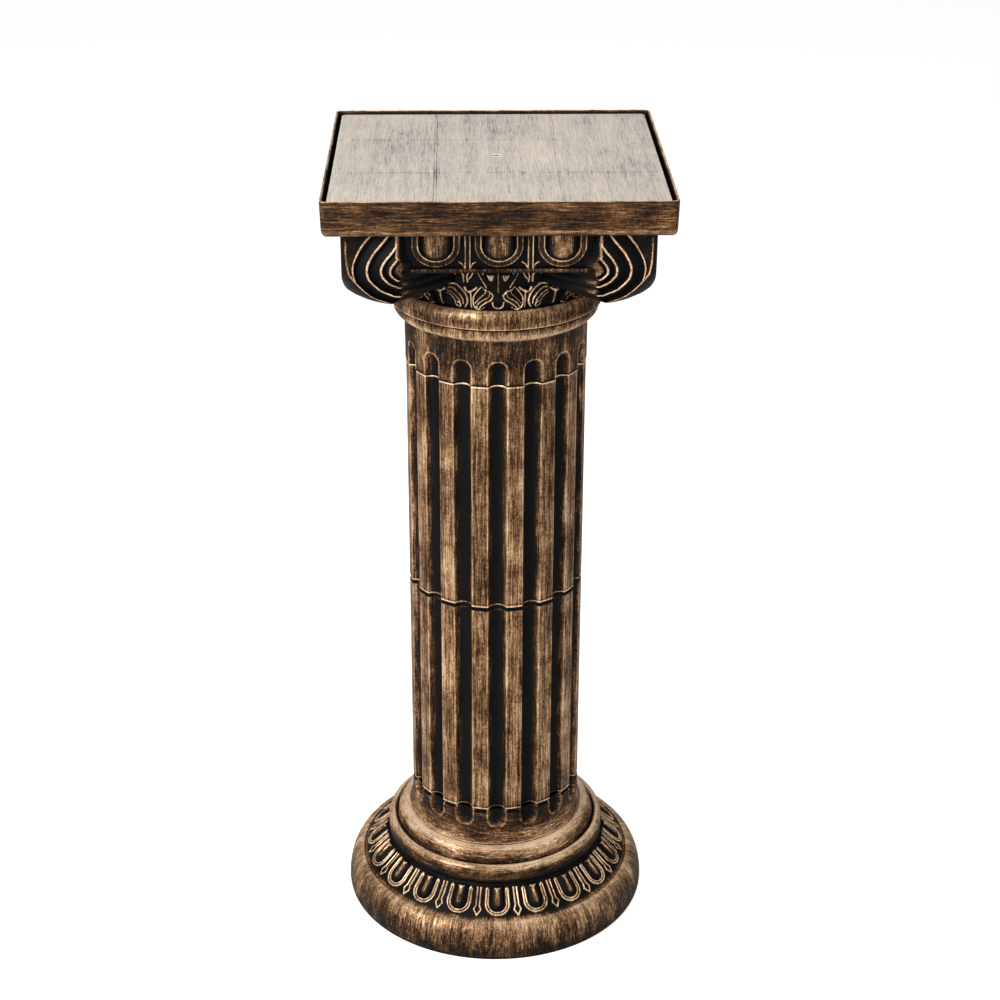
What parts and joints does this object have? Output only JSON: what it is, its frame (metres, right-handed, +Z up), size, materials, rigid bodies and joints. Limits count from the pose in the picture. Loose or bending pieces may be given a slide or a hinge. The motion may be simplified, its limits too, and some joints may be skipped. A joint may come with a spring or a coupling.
{
  "type": "pedestal column stand",
  "caption": "Fluted pedestal column on a round egg-and-dart base, with a scrolled capital under a square tray top that a drop-in panel closes.",
  "frame": {"origin": "centre of the foot, on the floor", "axes": "+Z up the column's axis, -Y out of the tray's front face, and +X to the right seen from the front"},
  "size_m": [0.313, 0.313, 0.8],
  "materials": {
    "moulding": "black moulded plastic with bronze paint dry-brushed over the raised surfaces",
    "panel": "black moulded plastic brushed with pale bronze paint",
    "zinc_steel": "zinc plated"
  },
  "bodies": {
    "root": {"base": "moulding", "lower_shaft": "moulding", "upper_shaft": "moulding", "capital": "moulding", "top_tray": "moulding", "top_panel": "panel", "tie_rod": "zinc_steel", "base_washer": "zinc_steel", "base_nut": "zinc_steel", "tray_washer": "zinc_steel", "tray_nut": "zinc_steel"}
  },
  "joints": []
}
